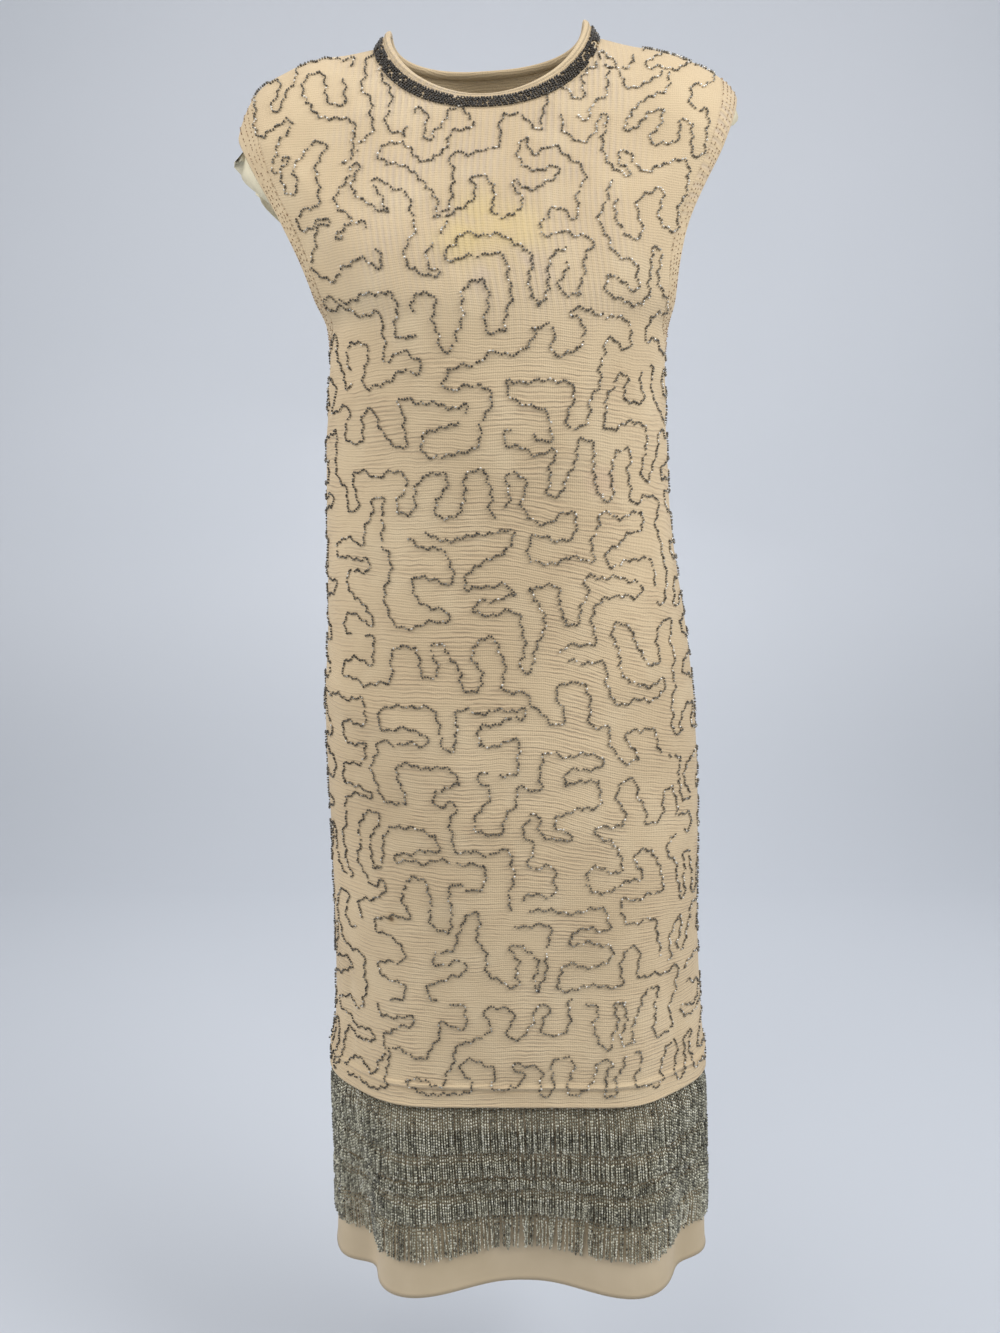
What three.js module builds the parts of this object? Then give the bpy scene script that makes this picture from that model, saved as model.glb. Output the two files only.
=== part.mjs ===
// Beaded fringe shift dress: a sleeveless knit shift, held open as if worn, with nothing inside.
// Millimetres, +Z up, the front faces -Y. The origin is the middle of the shoulder line,
// level with the shoulder seams at the neck, where a wearer carries the dress.
import * as THREE from 'three';

// Walls and gaps
const KNIT_WALL = 1.5;
const LINING_WALL = 1.0;
const SKIRT_WALL = 1.0;
const BAND_WALL = 1.6;
const BINDING_WALL = 2.6;
const FRINGE_WALL = 2.4;
const GAP = 0.3;
const SEAM = 0.4;
const LINING_GAP = 0.6;

// Levels down the dress
const UNDERARM_Z = -258;
const OVERDRESS_HEM_Z = -936;
const LINING_HEM_Z = -330;
const UNDERSKIRT_TOP_Z = -912;
const UNDERSKIRT_HEM_Z = -1134;

// Neck, shoulders and armholes
const NECK_HALF = 94;
const NECK_FRONT_DROP = 71;
const NECK_BACK_DROP = 20;
const NECK_LIFT = -15;
const NECK_SQUARE = 0.9;
const NECK_CENTRE_Y = -4;
const NECK_BAND = 12;
const NECK_BAND_RISE = 55;
const NECK_BINDING = 7;
const NECK_BINDING_RISE = 45;
const NECK_GAP = 1.3;
const SHOULDER_TIP = 214;
const SHOULDER_TILT = 4.5;
const SHOULDER_ROUND = 75;
const ARMHOLE_BAND = 14;
const ARMHOLE_REACH = 34;
const ARMHOLE_WIDEN = 0.4;
const ARMHOLE_BOW = 5;

// Facets: a panel has an even number of columns, half of them under the neckline
const COLUMNS = 20;
const NECK_SHARE = 0.5;
const YOKE_ROWS = 8;

const table = (columns, rows) =>
  rows.map((row) => Object.fromEntries(columns.map((name, i) => [name, row[i]])));

// Level sections, top to bottom: a rounded box whose front and back depths differ.
const SECTIONS = table(
  ['z', 'midX', 'half', 'midY', 'front', 'back', 'square'],
  [
    [10, 1, 256, 2, 40, 62, 2.4],
    [-57, 1, 250, 1, 52, 74, 2.4],
    [-109, -1, 232, 0, 69, 83, 2.4],
    [-143, -3, 215, -2, 82, 88, 2.4],
    [-175, -2, 196, -4, 93, 92, 2.4],
    [-201, 1, 181, -6, 100, 93, 2.4],
    [-235, 6, 163, -8, 104, 92, 2.35],
    [-258, 9, 148, -8, 105, 91, 2.3],
    [-330, 8, 151, -9, 102, 87, 2.2],
    [-417, 10, 155, -10, 97, 86, 2.2],
    [-508, 17, 163, -12, 97, 92, 2.25],
    [-583, 20, 170, -14, 99, 97, 2.3],
    [-680, 24, 172, -15, 99, 99, 2.35],
    [-780, 26, 172, -16, 98, 98, 2.4],
    [-882, 29, 176, -17, 94, 97, 2.4],
    [-936, 29, 182, -17, 92, 98, 2.4],
    [-1043, 33, 185, -17, 90, 99, 2.4],
    [-1134, 34, 186, -17, 88, 100, 2.4],
  ],
);

// How far the shoulder line drops below the neck point; the shoulder on the -X side sags more.
const SHOULDER = table(
  ['out', 'sagging', 'raised'],
  [
    [94, 0, 0],
    [120, 5, 6],
    [145, 8, 10],
    [170, 17.5, 17],
    [195, 32.5, 28.5],
    [208, 54.5, 38.5],
    [216, 81.5, 50.5],
  ],
);

// Folds of the skirt, by the angle round it from the middle of the front, + towards +X.
const FOLDS = table(
  ['angle', 'spread', 'reach', 'from'],
  [
    [-31, 15, 12, -640],
    [29, 15, 13, -640],
    [0, 19, -24, -930],
    [-57, 11, -17, -930],
    [60, 13, -14, -930],
    [-104, 20, 6, -760],
    [142, 19, 10, -700],
    [-148, 19, 9, -700],
    [180, 20, -11, -760],
  ],
);

// Rows of bead fringe: each lies against the underskirt where it is sewn and swings out over the
// top of the next. in: the level where it starts to swing out. out: where it is fully out.
const FRINGE = table(
  ['top', 'in', 'out', 'bottom'],
  [
    [-930, -940, -955, -985],
    [-966, -986, -996, -1012],
    [-998, -1013, -1018, -1027],
    [-1020, -1029, -1039, -1057],
    [-1041, -1059, -1068, -1096],
  ],
);
const FRINGE_SEWN = -3.4;
const FRINGE_FREE = -0.2;

// The underskirt is sewn inside the overdress and steps in to make room for the fringe.
const UNDERSKIRT = table(
  ['z', 'offset'],
  [
    [UNDERSKIRT_HEM_Z, -2],
    [-1096, -3.6],
    [-1070, -7.3],
    [-1013, -7.3],
    [-966, -7.3],
    [-930, -7.3],
    [UNDERSKIRT_TOP_Z, -2],
  ],
);

const KNIT = new THREE.MeshStandardMaterial({ color: '#cdb896', roughness: 0.9 });
const SILK = new THREE.MeshStandardMaterial({ color: '#cfc3a0', roughness: 0.5 });
const CREPE = new THREE.MeshStandardMaterial({ color: '#b8a17e', roughness: 0.75 });
const BEADS = new THREE.MeshStandardMaterial({ color: '#6c675c', roughness: 0.35, metalness: 0.5 });

const clamp01 = (t) => Math.min(Math.max(t, 0), 1);
const ease = (t) => clamp01(t) ** 2 * (3 - 2 * clamp01(t));
const radians = THREE.MathUtils.degToRad;
const degrees = THREE.MathUtils.radToDeg;
const lerp = THREE.MathUtils.lerp;

// A smooth curve through one column of a table, read along another column that rises.
function through(rows, along, name, at) {
  const last = rows.length - 1;
  const here = Math.min(Math.max(at, rows[0][along]), rows[last][along]);
  const i = Math.min(Math.max(rows.findIndex((row) => row[along] > here) - 1, 0), last - 1);
  const k = here >= rows[last][along] ? last - 1 : i;
  const slope = (j) => {
    const a = rows[Math.max(j - 1, 0)];
    const b = rows[Math.min(j + 1, last)];
    return (b[name] - a[name]) / (b[along] - a[along]);
  };
  const span = rows[k + 1][along] - rows[k][along];
  const t = (here - rows[k][along]) / span;
  const start = (2 * t ** 3 - 3 * t ** 2 + 1) * rows[k][name];
  const end = (3 * t ** 2 - 2 * t ** 3) * rows[k + 1][name];
  const leave = (t ** 3 - 2 * t ** 2 + t) * span * slope(k);
  const arrive = (t ** 3 - t ** 2) * span * slope(k + 1);
  return start + end + leave + arrive;
}

const RISING = [...SECTIONS].reverse();
const section = (name, z) => through(RISING, 'z', name, z);

// Height of the shoulder line at a distance x across; it carries on level over the neck.
function ridge(x) {
  const out = Math.max(Math.abs(x), NECK_HALF);
  const raised = ease((x + NECK_HALF) / (2 * NECK_HALF));
  const sag = lerp(through(SHOULDER, 'out', 'sagging', out), through(SHOULDER, 'out', 'raised', out), raised);
  const tilt = (SHOULDER_TILT * Math.min(Math.max(x, -NECK_HALF), NECK_HALF)) / NECK_HALF;
  return NECK_LIFT + tilt - sag;
}

// How far the skirt's folds carry the cloth out at an angle and a level.
function foldReach(angle, z) {
  const reaches = FOLDS.map((fold) => {
    const turn = ((angle - fold.angle + 540) % 360) - 180;
    const grown = ease((fold.from - z) / (fold.from - UNDERSKIRT_HEM_Z));
    return fold.reach * Math.exp(-((turn / fold.spread) ** 2)) * grown;
  });
  return reaches.reduce((sum, reach) => sum + reach, 0);
}

// The outer face of the worn dress at an angle round it (0 front, 90 at +X, 180 back) and a level.
// Above the chest, front and back close over the shoulder line in a quarter round.
function skin(angle, z) {
  const sine = Math.sin(radians(angle));
  const cosine = Math.cos(radians(angle));
  const power = 2 / section('square', z);
  const x = section('midX', z) + section('half', z) * Math.sign(sine) * Math.abs(sine) ** power;
  const depth = section(cosine > 0 ? 'front' : 'back', z);
  const below = clamp01((ridge(x) - z) / SHOULDER_ROUND);
  const closing = Math.sqrt(1 - (1 - below) ** 2);
  const y = section('midY', z) - depth * Math.sign(cosine) * Math.abs(cosine) ** power * closing;
  const reach = foldReach(angle, z);
  return new THREE.Vector3(x + reach * sine, y - reach * cosine, z);
}

// The angle at which the skin stands a distance x across at level z.
function angleAt(x, z) {
  const across = (x - section('midX', z)) / section('half', z);
  const sine = Math.min(Math.abs(across), 1) ** (section('square', z) / 2);
  return Math.sign(across) * degrees(Math.asin(sine));
}

// A level and angle on the armhole's edge, or inset from it. side: -1 or 1. down: 0 at the
// shoulder tip, 1 under the arm.
function armhole(side, down, inset) {
  const tipX = side * (SHOULDER_TIP - inset);
  const tipZ = ridge(tipX);
  const z = lerp(tipZ, UNDERARM_Z - inset, down);
  const tipReach = 90 - Math.abs(angleAt(tipX, tipZ));
  const widest = ARMHOLE_REACH + ARMHOLE_WIDEN * inset;
  const reach = lerp(tipReach, widest, Math.sin((Math.PI / 2) * clamp01(2 * down)));
  return { angle: side * (90 - reach * Math.sqrt(1 - down ** ARMHOLE_BOW)), z };
}

// A level and angle on the neckline. turn: -90 to 90 across it.
function neckline(turn, drop) {
  const sine = Math.sin(radians(turn));
  const x = NECK_HALF * Math.sign(sine) * Math.abs(sine) ** NECK_SQUARE;
  const cosine = Math.max(Math.cos(radians(turn)), 0);
  const tilt = (SHOULDER_TILT * x) / NECK_HALF;
  const z = Math.min(NECK_LIFT + tilt - drop * cosine, ridge(x));
  return { angle: angleAt(x, z), z };
}

// The panel's top edge, from shoulder tip to shoulder tip. across: -1 to 1.
function topEdge(across, drop) {
  const side = Math.sign(across);
  if (Math.abs(across) <= NECK_SHARE) return neckline((90 * across) / NECK_SHARE, drop);
  const out = (Math.abs(across) - NECK_SHARE) / (1 - NECK_SHARE);
  const x = side * lerp(NECK_HALF, SHOULDER_TIP - ARMHOLE_BAND - GAP, out);
  return { angle: angleAt(x, ridge(x)), z: ridge(x) };
}

// The yoke above the underarm fills the space between the chest line, the two armholes and the
// top edge: each pair of opposite edges is blended, and the blend of the corners is taken away.
function yoke(across, up, drop) {
  const inset = ARMHOLE_BAND + GAP;
  const right = (across + 1) / 2;
  const chest = { angle: 90 * across, z: UNDERARM_Z - inset };
  const top = topEdge(across, drop);
  const corner = topEdge(1, drop);
  const otherCorner = topEdge(-1, drop);
  const edge = armhole(1, 1 - up, inset);
  const otherEdge = armhole(-1, 1 - up, inset);
  const mix = (name, low) => {
    const rise = lerp(chest[name], top[name], up);
    const width = lerp(otherEdge[name], edge[name], right);
    const corners = lerp(lerp(low[0], otherCorner[name], up), lerp(low[1], corner[name], up), right);
    return rise + width - corners;
  };
  return { angle: mix('angle', [-90, 90]), z: mix('z', [chest.z, chest.z]) };
}

const steps = (count) => Array.from({ length: count + 1 }, (_, i) => i / count);
const YOKE_STEPS = steps(YOKE_ROWS).map(ease);
const NECK_STEPS = steps(COLUMNS * NECK_SHARE).map((t) => 180 * t - 90);

// A point of the skin on the front (face 1) or back (face -1), seen from outside the dress.
const onFace = (face, spot) => skin(face > 0 ? spot.angle : 180 - spot.angle, spot.z);

// Each point of a grid with its outward direction, from its neighbours. Rows climb, and columns
// run to the right as seen from outside. A point on a seam keeps its wall's end in the seam.
function withNormals(points, ring, onSeam = () => false) {
  const columns = points[0].length;
  const wrap = (c) => (c + columns) % columns;
  const edge = (c) => Math.min(Math.max(c, 0), columns - 1);
  const at = ring ? wrap : edge;
  return points.map((row, r) =>
    row.map((point, c) => {
      const right = row[at(c + 1)].clone().sub(row[at(c - 1)]);
      const above = points[Math.min(r + 1, points.length - 1)][c];
      const up = above.clone().sub(points[Math.max(r - 1, 0)][c]);
      const normal = right.cross(up);
      if (onSeam(r, c)) normal.y = 0;
      return { point, normal: normal.normalize() };
    }),
  );
}

// A closed wall on a grid, from `inner` to `outer` along the normals. Both may change by row.
function wall(name, grid, outer, inner, material, ring = false) {
  const rows = grid.length;
  const columns = grid[0].length;
  const positions = [];
  for (const offset of [outer, inner]) {
    grid.forEach((row, r) => {
      const distance = Array.isArray(offset) ? offset[r] : offset;
      row.forEach(({ point, normal }) => positions.push(...point.clone().addScaledVector(normal, distance)));
    });
  }
  const out = (r, c) => r * columns + (c % columns);
  const within = (r, c) => rows * columns + out(r, c);
  const faces = [];
  const quad = (a, b, c, d) => faces.push(a, b, c, a, c, d);
  const across = ring ? columns : columns - 1;
  for (let r = 0; r < rows - 1; r += 1) {
    for (let c = 0; c < across; c += 1) {
      quad(out(r, c), out(r, c + 1), out(r + 1, c + 1), out(r + 1, c));
      quad(within(r, c), within(r + 1, c), within(r + 1, c + 1), within(r, c + 1));
    }
    if (!ring) {
      const last = columns - 1;
      quad(within(r, 0), out(r, 0), out(r + 1, 0), within(r + 1, 0));
      quad(out(r, last), within(r, last), within(r + 1, last), out(r + 1, last));
    }
  }
  const top = rows - 1;
  for (let c = 0; c < across; c += 1) {
    quad(within(0, c), within(0, c + 1), out(0, c + 1), out(0, c));
    quad(out(top, c), out(top, c + 1), within(top, c + 1), within(top, c));
  }
  const geometry = new THREE.BufferGeometry();
  geometry.setAttribute('position', new THREE.Float32BufferAttribute(positions, 3));
  geometry.setIndex(faces);
  geometry.computeVertexNormals();
  const mesh = new THREE.Mesh(geometry, material);
  mesh.name = name;
  return mesh;
}

// The grid of a front or back panel, from a level up to the shoulders and neck.
const BODY_LEVELS = [-916, -882, -830, -780, -720, -660, -583, -508, -417, -330];
function panelGrid(face, lowest) {
  const drop = face > 0 ? NECK_FRONT_DROP : NECK_BACK_DROP;
  const levels = [lowest, ...BODY_LEVELS.filter((z) => z > lowest + 1)];
  const columns = steps(COLUMNS).map((t) => face * (2 * t - 1));
  const body = levels.map((z) => columns.map((across) => ({ angle: 90 * across, z })));
  const top = YOKE_STEPS.map((up) => columns.map((across) => yoke(across, up, drop)));
  const rows = [...body, ...top];
  const points = rows.map((row) =>
    row.map((spot) => onFace(face, spot).add(new THREE.Vector3(0, (-face * SEAM) / 2, 0))),
  );
  const topRow = rows.length - 1;
  const atSide = (r, c) => (c === 0 || c === COLUMNS) && r <= body.length;
  const atShoulder = (r, c) => r === topRow && Math.abs(columns[c]) >= NECK_SHARE;
  return withNormals(points, false, (r, c) => atSide(r, c) || atShoulder(r, c));
}

// A ring of columns round the dress at each level.
function hoop(levels) {
  const angles = steps(2 * COLUMNS).slice(0, -1).map((t) => 360 * t);
  return withNormals(levels.map((z) => angles.map((angle) => skin(angle, z))), true);
}

// Half of the underskirt's grid, cut along the side seams.
function skirtGrid(face) {
  const columns = steps(COLUMNS).map((t) => face * (180 * t - 90));
  const seam = new THREE.Vector3(0, (-face * SEAM) / 2, 0);
  const points = UNDERSKIRT.map(({ z }) => columns.map((angle) => onFace(face, { angle, z }).add(seam)));
  return withNormals(points, false, (r, c) => c === 0 || c === COLUMNS);
}

function fringeRow(name, row) {
  const grid = hoop([row.bottom, row.out, row.in, row.top]);
  const outer = [FRINGE_FREE, FRINGE_FREE, FRINGE_SEWN, FRINGE_SEWN];
  const inner = outer.map((offset) => offset - FRINGE_WALL);
  return wall(name, grid, outer, inner, BEADS, true);
}

// The band round an armhole: down its front, under the arm and up its back.
function armholeBand(name, side) {
  const down = YOKE_STEPS.map((up) => 1 - up);
  const spots = (inset) => {
    const front = down.map((t) => onFace(1, armhole(side, t, inset)));
    const back = down.map((t) => onFace(-1, armhole(side, t, inset)));
    const loop = [...front.slice(0, -1), ...back.reverse().slice(0, -1)];
    return side > 0 ? loop : loop.reverse();
  };
  return wall(name, withNormals([spots(ARMHOLE_BAND), spots(0)], true), 0, -KNIT_WALL, KNIT, true);
}

// The neck's edge all round, and a direction from it: up, and in towards the neck.
function neckLoop() {
  const front = NECK_STEPS.map((turn) => onFace(1, neckline(turn, NECK_FRONT_DROP)));
  const back = NECK_STEPS.map((turn) => onFace(-1, neckline(turn, NECK_BACK_DROP)));
  return [...front.slice(0, -1), ...back.reverse().slice(0, -1)];
}

function risen(loop, rise, distance) {
  return loop.map((point) => {
    const inward = new THREE.Vector3(-point.x, NECK_CENTRE_Y - point.y, 0).normalize();
    const step = inward.multiplyScalar(Math.cos(radians(rise)));
    step.z = Math.sin(radians(rise));
    return point.clone().addScaledVector(step, distance);
  });
}

const dress = new THREE.Group();
dress.add(wall('front', panelGrid(1, OVERDRESS_HEM_Z), 0, -KNIT_WALL, KNIT));
dress.add(wall('back', panelGrid(-1, OVERDRESS_HEM_Z), 0, -KNIT_WALL, KNIT));

const LINING_OUT = -KNIT_WALL - LINING_GAP;
dress.add(wall('lining_front', panelGrid(1, LINING_HEM_Z), LINING_OUT, LINING_OUT - LINING_WALL, SILK));
dress.add(wall('lining_back', panelGrid(-1, LINING_HEM_Z), LINING_OUT, LINING_OUT - LINING_WALL, SILK));

dress.add(armholeBand('armhole_band_left', 1));
dress.add(armholeBand('armhole_band_right', -1));

const neckEdge = neckLoop();
const bandTop = risen(neckEdge, NECK_BAND_RISE, NECK_BAND);
const band = withNormals([risen(neckEdge, NECK_BAND_RISE, NECK_GAP), bandTop], true);
dress.add(wall('neck_bead_band', band, 0, -BAND_WALL, BEADS, true));
const bindingLow = risen(bandTop, NECK_BINDING_RISE, NECK_GAP);
const binding = withNormals([bindingLow, risen(bandTop, NECK_BINDING_RISE, NECK_BINDING)], true);
dress.add(wall('neck_binding', binding, 0, -BINDING_WALL, KNIT, true));

const skirtOuter = UNDERSKIRT.map((row) => row.offset);
const skirtInner = skirtOuter.map((offset) => offset - SKIRT_WALL);
dress.add(wall('underskirt_front', skirtGrid(1), skirtOuter, skirtInner, CREPE));
dress.add(wall('underskirt_back', skirtGrid(-1), skirtOuter, skirtInner, CREPE));

FRINGE.forEach((row, i) => dress.add(fringeRow(`fringe_row_${i + 1}`, row)));

export default dress;
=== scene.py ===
"""Beaded fringe shift dress: a knit shift worn open and hollow, with meandering bead lines,
a beaded neck, a silk lining and rows of bead fringe over an underskirt. Metres, +Z up."""
import math
import random
from itertools import product

import bpy
import numpy as np
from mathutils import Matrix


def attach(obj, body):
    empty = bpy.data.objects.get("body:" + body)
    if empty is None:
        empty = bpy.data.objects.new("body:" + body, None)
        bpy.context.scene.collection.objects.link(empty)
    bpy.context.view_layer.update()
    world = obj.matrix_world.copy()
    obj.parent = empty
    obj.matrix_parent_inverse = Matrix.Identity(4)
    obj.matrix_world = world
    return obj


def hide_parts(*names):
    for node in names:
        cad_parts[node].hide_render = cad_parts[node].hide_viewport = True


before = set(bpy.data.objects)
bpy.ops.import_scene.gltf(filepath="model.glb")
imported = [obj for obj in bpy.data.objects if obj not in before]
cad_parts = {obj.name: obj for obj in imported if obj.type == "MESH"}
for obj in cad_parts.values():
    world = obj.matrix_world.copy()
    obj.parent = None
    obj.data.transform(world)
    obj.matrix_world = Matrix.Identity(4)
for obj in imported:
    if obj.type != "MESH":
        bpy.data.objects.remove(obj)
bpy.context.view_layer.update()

MM = 0.001
BODY = "root"

# ---------------------------------------------------------------- the dress's own sizes
UNDERARM = -258 * MM
OVERDRESS_HEM = -936 * MM
TUCK = -916 * MM
LINING_HEM = -330 * MM
UNDERSKIRT_TOP = -912 * MM
UNDERSKIRT_HEM = -1134 * MM
NECK_HALF = 94 * MM
NECK_DROP = {1: 71 * MM, -1: 20 * MM}
NECK_LIFT = -15 * MM
NECK_SQUARE = 0.9
NECK_CENTRE_Y = -4 * MM
NECK_BAND = 12 * MM
NECK_BAND_RISE = math.radians(55)
NECK_BINDING_RISE = math.radians(45)
SHOULDER_TIP = 214 * MM
SHOULDER_TILT = 4.5 * MM
SHOULDER_ROUND = 75 * MM
ARMHOLE_BAND = 14 * MM
ARMHOLE_REACH = 34
ARMHOLE_WIDEN = 400
ARMHOLE_BOW = 5
NECK_SHARE = 0.5
KNIT_WALL = 1.3 * MM
SILK_WALL = 0.6 * MM
CREPE_WALL = 0.8 * MM
LINING_IN = 3.2 * MM
LINING_INSET = 6 * MM
HEM_ZONE = 36 * MM


def table(columns, rows):
    """A table by column name, rows in rising order of its first column."""
    values = np.array(sorted(rows), float)
    return {name: values[:, i] for i, name in enumerate(columns.split())}


# Level sections: rounded boxes whose front and back depths differ, in millimetres.
SECTIONS = table("z mid_x half mid_y front back square", [
    (10, 1, 256, 2, 40, 62, 2.4),
    (-57, 1, 250, 1, 52, 74, 2.4),
    (-109, -1, 232, 0, 69, 83, 2.4),
    (-143, -3, 215, -2, 82, 88, 2.4),
    (-175, -2, 196, -4, 93, 92, 2.4),
    (-201, 1, 181, -6, 100, 93, 2.4),
    (-235, 6, 163, -8, 104, 92, 2.35),
    (-258, 9, 148, -8, 105, 91, 2.3),
    (-330, 8, 151, -9, 102, 87, 2.2),
    (-417, 10, 155, -10, 97, 86, 2.2),
    (-508, 17, 163, -12, 97, 92, 2.25),
    (-583, 20, 170, -14, 99, 97, 2.3),
    (-680, 24, 172, -15, 99, 99, 2.35),
    (-780, 26, 172, -16, 98, 98, 2.4),
    (-882, 29, 176, -17, 94, 97, 2.4),
    (-936, 29, 182, -17, 92, 98, 2.4),
    (-1043, 33, 185, -17, 90, 99, 2.4),
    (-1134, 34, 186, -17, 88, 100, 2.4),
])

# How far the shoulder line drops, by the distance out, on the sagging and the raised side.
SHOULDER = table("out sagging raised", [
    (94, 0, 0),
    (120, 5, 6),
    (145, 8, 10),
    (170, 17.5, 17),
    (195, 32.5, 28.5),
    (208, 54.5, 38.5),
    (216, 81.5, 50.5),
])

# Skirt folds by the angle round the dress: 0 is the middle of the front, 90 is +X.
FOLDS = table("angle spread reach start", [
    (-31, 15, 12, -640),
    (29, 15, 13, -640),
    (0, 19, -24, -930),
    (-57, 11, -17, -930),
    (60, 13, -14, -930),
    (-104, 20, 6, -760),
    (142, 19, 10, -700),
    (-148, 19, 9, -700),
    (180, 20, -11, -760),
])

# Creases in the knit: from one angle and level to another, in degrees and millimetres.
CREASES = table("angle z to_angle to_z width reach", [
    (-13, -104, -15, -205, 4, 0.9),
    (-7, -100, -8, -255, 4, 1.1),
    (0, -98, 1, -400, 3, 0.8),
    (5, -100, 6, -240, 4, 1.0),
    (10, -104, 12, -225, 4, 1.1),
    (15, -110, 18, -195, 4, 0.8),
    (-58, -120, -34, -300, 16, -2.6),
    (-50, -95, -30, -190, 12, 2.0),
    (62, -105, 38, -290, 16, -2.4),
    (50, -80, 30, -180, 12, 1.8),
    (-84, -330, -52, -292, 11, -2.2),
    (84, -335, 50, -290, 11, -2.0),
    (-80, -455, -38, -430, 12, 1.5),
    (78, -470, 34, -452, 12, -1.4),
    (-74, -560, -20, -600, 13, 1.5),
    (20, -560, 76, -525, 13, 1.4),
    (-30, -655, 40, -640, 14, -1.1),
    (-78, -700, -46, -735, 13, -1.6),
    (72, -690, 48, -740, 13, -1.5),
    (-18, -760, -26, -915, 14, -2.2),
    (14, -800, 10, -915, 12, -1.6),
    (48, -780, 52, -915, 12, -2.0),
    (-62, -790, -60, -915, 11, -2.4),
    (180, -60, 181, -420, 10, -2.6),
    (150, -110, 166, -260, 14, -2.2),
    (212, -115, 196, -265, 14, -2.4),
    (118, -300, 150, -330, 12, 1.8),
    (243, -305, 208, -340, 12, -1.7),
    (120, -470, 172, -440, 14, 2.2),
    (196, -450, 238, -486, 14, 1.9),
    (130, -520, 225, -540, 15, -1.6),
    (160, -640, 158, -915, 16, -2.6),
    (203, -660, 206, -915, 16, 2.4),
    (128, -740, 126, -915, 13, -2.0),
    (232, -730, 236, -915, 13, -2.0),
])

# Rows of bead fringe: sewn at top, hanging to bottom, swinging out between start and out.
FRINGE = [
    dict(top=-930, start=-940, out=-955, bottom=-985),
    dict(top=-966, start=-986, out=-996, bottom=-1012),
    dict(top=-998, start=-1013, out=-1018, bottom=-1027),
    dict(top=-1020, start=-1029, out=-1039, bottom=-1057),
    dict(top=-1041, start=-1059, out=-1068, bottom=-1096),
]
FRINGE_SEWN = -4.4 * MM
FRINGE_FREE = -1.0 * MM
STRANDS = 420
STRAND_PITCH = 2.9 * MM
UNDERSKIRT = table("z offset", [(-1134, -2), (-1096, -3.6), (-1070, -7.3), (-930, -7.3), (-912, -2)])

# Rows of an armhole band and of the neck band: how far in from the edge or up, and how far out.
ARMHOLE_ROWS = [(15.4, -0.5), (13.8, 0.35), (10, 0.3), (6.5, 0.3), (3, 0.4), (0.6, 0.2), (0, -0.5)]
NECK_ROWS = [(-1.2, 0.2), (2, 0.4), (6, 0.6), (10, 0.4), (12.4, 0.0)]


# ---------------------------------------------------------------- the dress's form
def ease(t):
    """A smooth step from 0 to 1."""
    t = np.clip(t, 0, 1)
    return t * t * (3 - 2 * t)


def through(rows, name, at):
    """A smooth curve through one column, read along the first: a cubic with the slope of the
    chord between each row's neighbours."""
    along = next(iter(rows.values()))
    column = rows[name]
    at = np.clip(at, along[0], along[-1])
    k = np.clip(np.searchsorted(along, at, side="right") - 1, 0, len(along) - 2)
    padded = np.pad(column, 1, mode="edge")
    reach = np.pad(along, 1, mode="edge")
    slope = (padded[2:] - padded[:-2]) / (reach[2:] - reach[:-2])
    span = along[k + 1] - along[k]
    t = (at - along[k]) / span
    ends = (2 * t**3 - 3 * t**2 + 1) * column[k] + (3 * t**2 - 2 * t**3) * column[k + 1]
    return ends + span * ((t**3 - 2 * t**2 + t) * slope[k] + (t**3 - t**2) * slope[k + 1])


def section(name, z):
    """A section's value at level z, in metres except for square."""
    value = through(SECTIONS, name, np.asarray(z, float) / MM)
    return value if name == "square" else value * MM


def ridge(x):
    """Height of the shoulder line a distance x across, level over the neck."""
    out = np.maximum(np.abs(x), NECK_HALF) / MM
    raised = ease((x + NECK_HALF) / (2 * NECK_HALF))
    sag = through(SHOULDER, "sagging", out) * (1 - raised) + through(SHOULDER, "raised", out) * raised
    return NECK_LIFT + SHOULDER_TILT * np.clip(x / NECK_HALF, -1, 1) - sag * MM


def fold_reach(angle, z):
    """Sum of bell-shaped folds round the skirt, each growing from its start down to the hem."""
    total = 0.0
    for i in range(len(FOLDS["angle"])):
        turn = (angle - FOLDS["angle"][i] + 540) % 360 - 180
        start = FOLDS["start"][i] * MM
        grown = ease((start - z) / (start - UNDERSKIRT_HEM))
        total = total + FOLDS["reach"][i] * MM * np.exp(-((turn / FOLDS["spread"][i]) ** 2)) * grown
    return total


def skin(angle, z):
    """Outer face of the dress at an angle round it and a level: a rounded box at each level,
    closed over the shoulder line in a quarter round, with the skirt's folds added outward."""
    angle, z = np.broadcast_arrays(np.asarray(angle, float), np.asarray(z, float))
    sine, cosine = np.sin(np.radians(angle)), np.cos(np.radians(angle))
    power = 2 / section("square", z)
    x = section("mid_x", z) + section("half", z) * np.sign(sine) * np.abs(sine) ** power
    depth = np.where(cosine > 0, section("front", z), section("back", z))
    below = np.clip((ridge(x) - z) / SHOULDER_ROUND, 0, 1)
    closing = np.sqrt(1 - (1 - below) ** 2)
    y = section("mid_y", z) - depth * np.sign(cosine) * np.abs(cosine) ** power * closing
    reach = fold_reach(angle, z)
    return np.stack([x + reach * sine, y - reach * cosine, z + 0 * x], axis=-1)


def unit(vectors):
    """The same directions with length 1."""
    return vectors / np.maximum(np.linalg.norm(vectors, axis=-1, keepdims=True), 1e-12)


def distances(points):
    """Distance along a line at each of its points."""
    gaps = np.linalg.norm(np.diff(points, axis=0), axis=1)
    return np.concatenate([[0], np.cumsum(gaps)])


def loop_run(loop):
    """Direction along a closed line at each of its points."""
    return unit(np.roll(loop, -1, axis=0) - np.roll(loop, 1, axis=0))


def middle_of(face):
    """Angle of the middle of the front, face 1, or of the back, face -1."""
    return 0 if face > 0 else 180


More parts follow.
